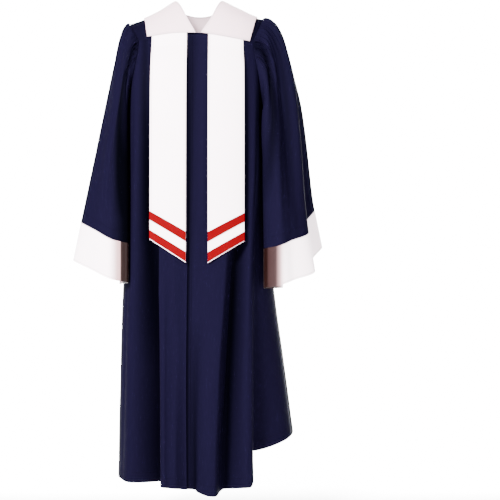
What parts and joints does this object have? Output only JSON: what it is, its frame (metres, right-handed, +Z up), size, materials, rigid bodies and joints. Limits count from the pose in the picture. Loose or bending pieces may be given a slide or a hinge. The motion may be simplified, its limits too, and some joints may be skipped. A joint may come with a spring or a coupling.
{
  "type": "graduation gown",
  "caption": "Full-length navy ceremonial gown in its worn, hollow shape, with a gathered yoke, bell sleeves with white cuffs, and a white satin yoke collar with red-ribboned stole tails.",
  "frame": {"origin": "midway between the two points where the wearer's neck meets the shoulders, on the shoulder ridge, where the gown hangs from the wearer", "axes": "+Z up, -Y towards the front of the gown, +X towards the wearer's left"},
  "size_m": [0.6781, 0.4152, 1.3067],
  "materials": {
    "navy_cloth": "plain-woven polyester with a soft satin sheen",
    "white_satin": "smooth matt satin",
    "red_ribbon": "fine ribbed satin ribbon"
  },
  "bodies": {
    "root": {"front_left": "navy_cloth", "front_right": "navy_cloth", "back": "navy_cloth", "yoke": "navy_cloth", "sleeve_left": "navy_cloth", "sleeve_right": "navy_cloth", "collar": "white_satin", "tail_left": "white_satin", "tail_right": "white_satin", "cuff_left": "white_satin", "cuff_right": "white_satin", "ribbon_upper_left": "red_ribbon", "ribbon_upper_right": "red_ribbon", "ribbon_lower_left": "red_ribbon", "ribbon_lower_right": "red_ribbon"}
  },
  "joints": []
}
